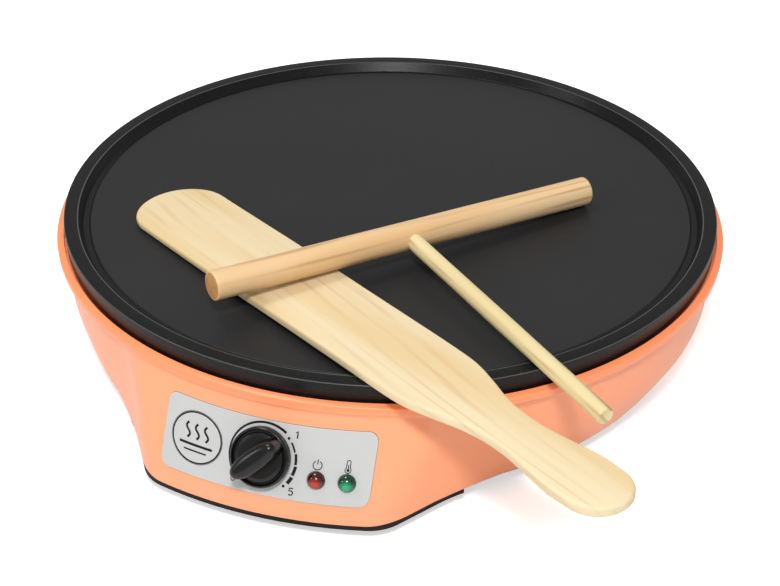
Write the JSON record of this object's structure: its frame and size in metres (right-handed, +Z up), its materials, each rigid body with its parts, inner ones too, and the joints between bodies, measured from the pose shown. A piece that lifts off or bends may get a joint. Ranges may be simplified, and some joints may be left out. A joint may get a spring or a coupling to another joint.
{
  "type": "crepe maker",
  "caption": "Round electric crepe maker: shallow plate in a bowl-shaped shell, sloping control nose with dial knob and lamps, and a wooden spatula and spreader laid on top.",
  "frame": {"origin": "the point on the worktop straight below the centre of the cooking plate", "axes": "+Z up along the plate's axis; -Y towards the control nose; +X to the right of somebody who faces the nose"},
  "size_m": [0.3203, 0.3638, 0.0858],
  "materials": {
    "shell": "glossy moulded salmon plastic",
    "base": "matt black moulded plastic",
    "plate": "cast aluminium under a dark grey non-stick coating",
    "steel": "plain steel",
    "shield": "thin bare sheet",
    "brass": "bare brass",
    "copper": null,
    "label": "silver-grey printed foil",
    "lens_red": "clear red lens",
    "lens_green": "clear green lens",
    "glass": "clear glass",
    "ceramic": "white ceramic or heat-proof moulding",
    "knob": "glossy black",
    "gland": "matt black",
    "lead_brown": "brown heat-proof sleeve",
    "lead_blue": "blue heat-proof sleeve",
    "lead_green": "green heat-proof sleeve",
    "rubber": "matt rubber",
    "wood": "bare sanded pale wood"
  },
  "bodies": {
    "root": {"housing": "shell", "base_cover": "base", "cooking_plate": "plate", "heating_element": "steel", "element_clamps": "steel", "clamp_screws": "steel", "heat_shield": "shield", "plate_spacers": "steel", "plate_screws": "steel", "plate_washers": "steel", "earth_tag": "brass", "control_label": "label", "lens_red": "lens_red", "lens_green": "lens_green", "neon_red": "glass", "neon_green": "glass", "lens_retainers": "steel", "thermostat": "ceramic", "thermostat_tabs": "brass", "thermostat_nut": "brass", "capillary": "copper", "sensing_bulb": "copper", "bulb_clip": "steel", "thermal_fuse": "steel", "fuse_clip": "steel", "terminal_block": "ceramic", "terminal_screws": "brass", "block_fixing": "steel", "lead_live": "lead_brown", "lead_neutral": "lead_blue", "lead_switched": "lead_brown", "lead_element": "lead_brown", "lead_earth": "lead_green", "cord_gland": "gland", "foot_front_left": "rubber", "foot_front_right": "rubber", "foot_rear_left": "rubber", "foot_rear_right": "rubber", "base_screws": "steel"},
    "knob": {"knob": "knob", "thermostat_spindle": "steel", "knob_clip": "steel"},
    "spatula": {"spatula": "wood"},
    "spreader": {"spreader_bar": "wood", "spreader_handle": "wood"}
  },
  "joints": [
    {"name": "knob_turn", "type": "hinge", "parent": "root", "child": "knob", "pos_m": [0, -0.16765, 0.03178], "axis": [0, -0.9026, 0.4305], "range_deg": [-265, 0]},
    {"name": "spatula_lift", "type": "slide", "parent": "root", "child": "spatula", "axis": [0, 0, 1], "range_m": [0, 0.15]},
    {"name": "spreader_lift", "type": "slide", "parent": "spatula", "child": "spreader", "axis": [0, 0, 1], "range_m": [0, 0.15]}
  ]
}
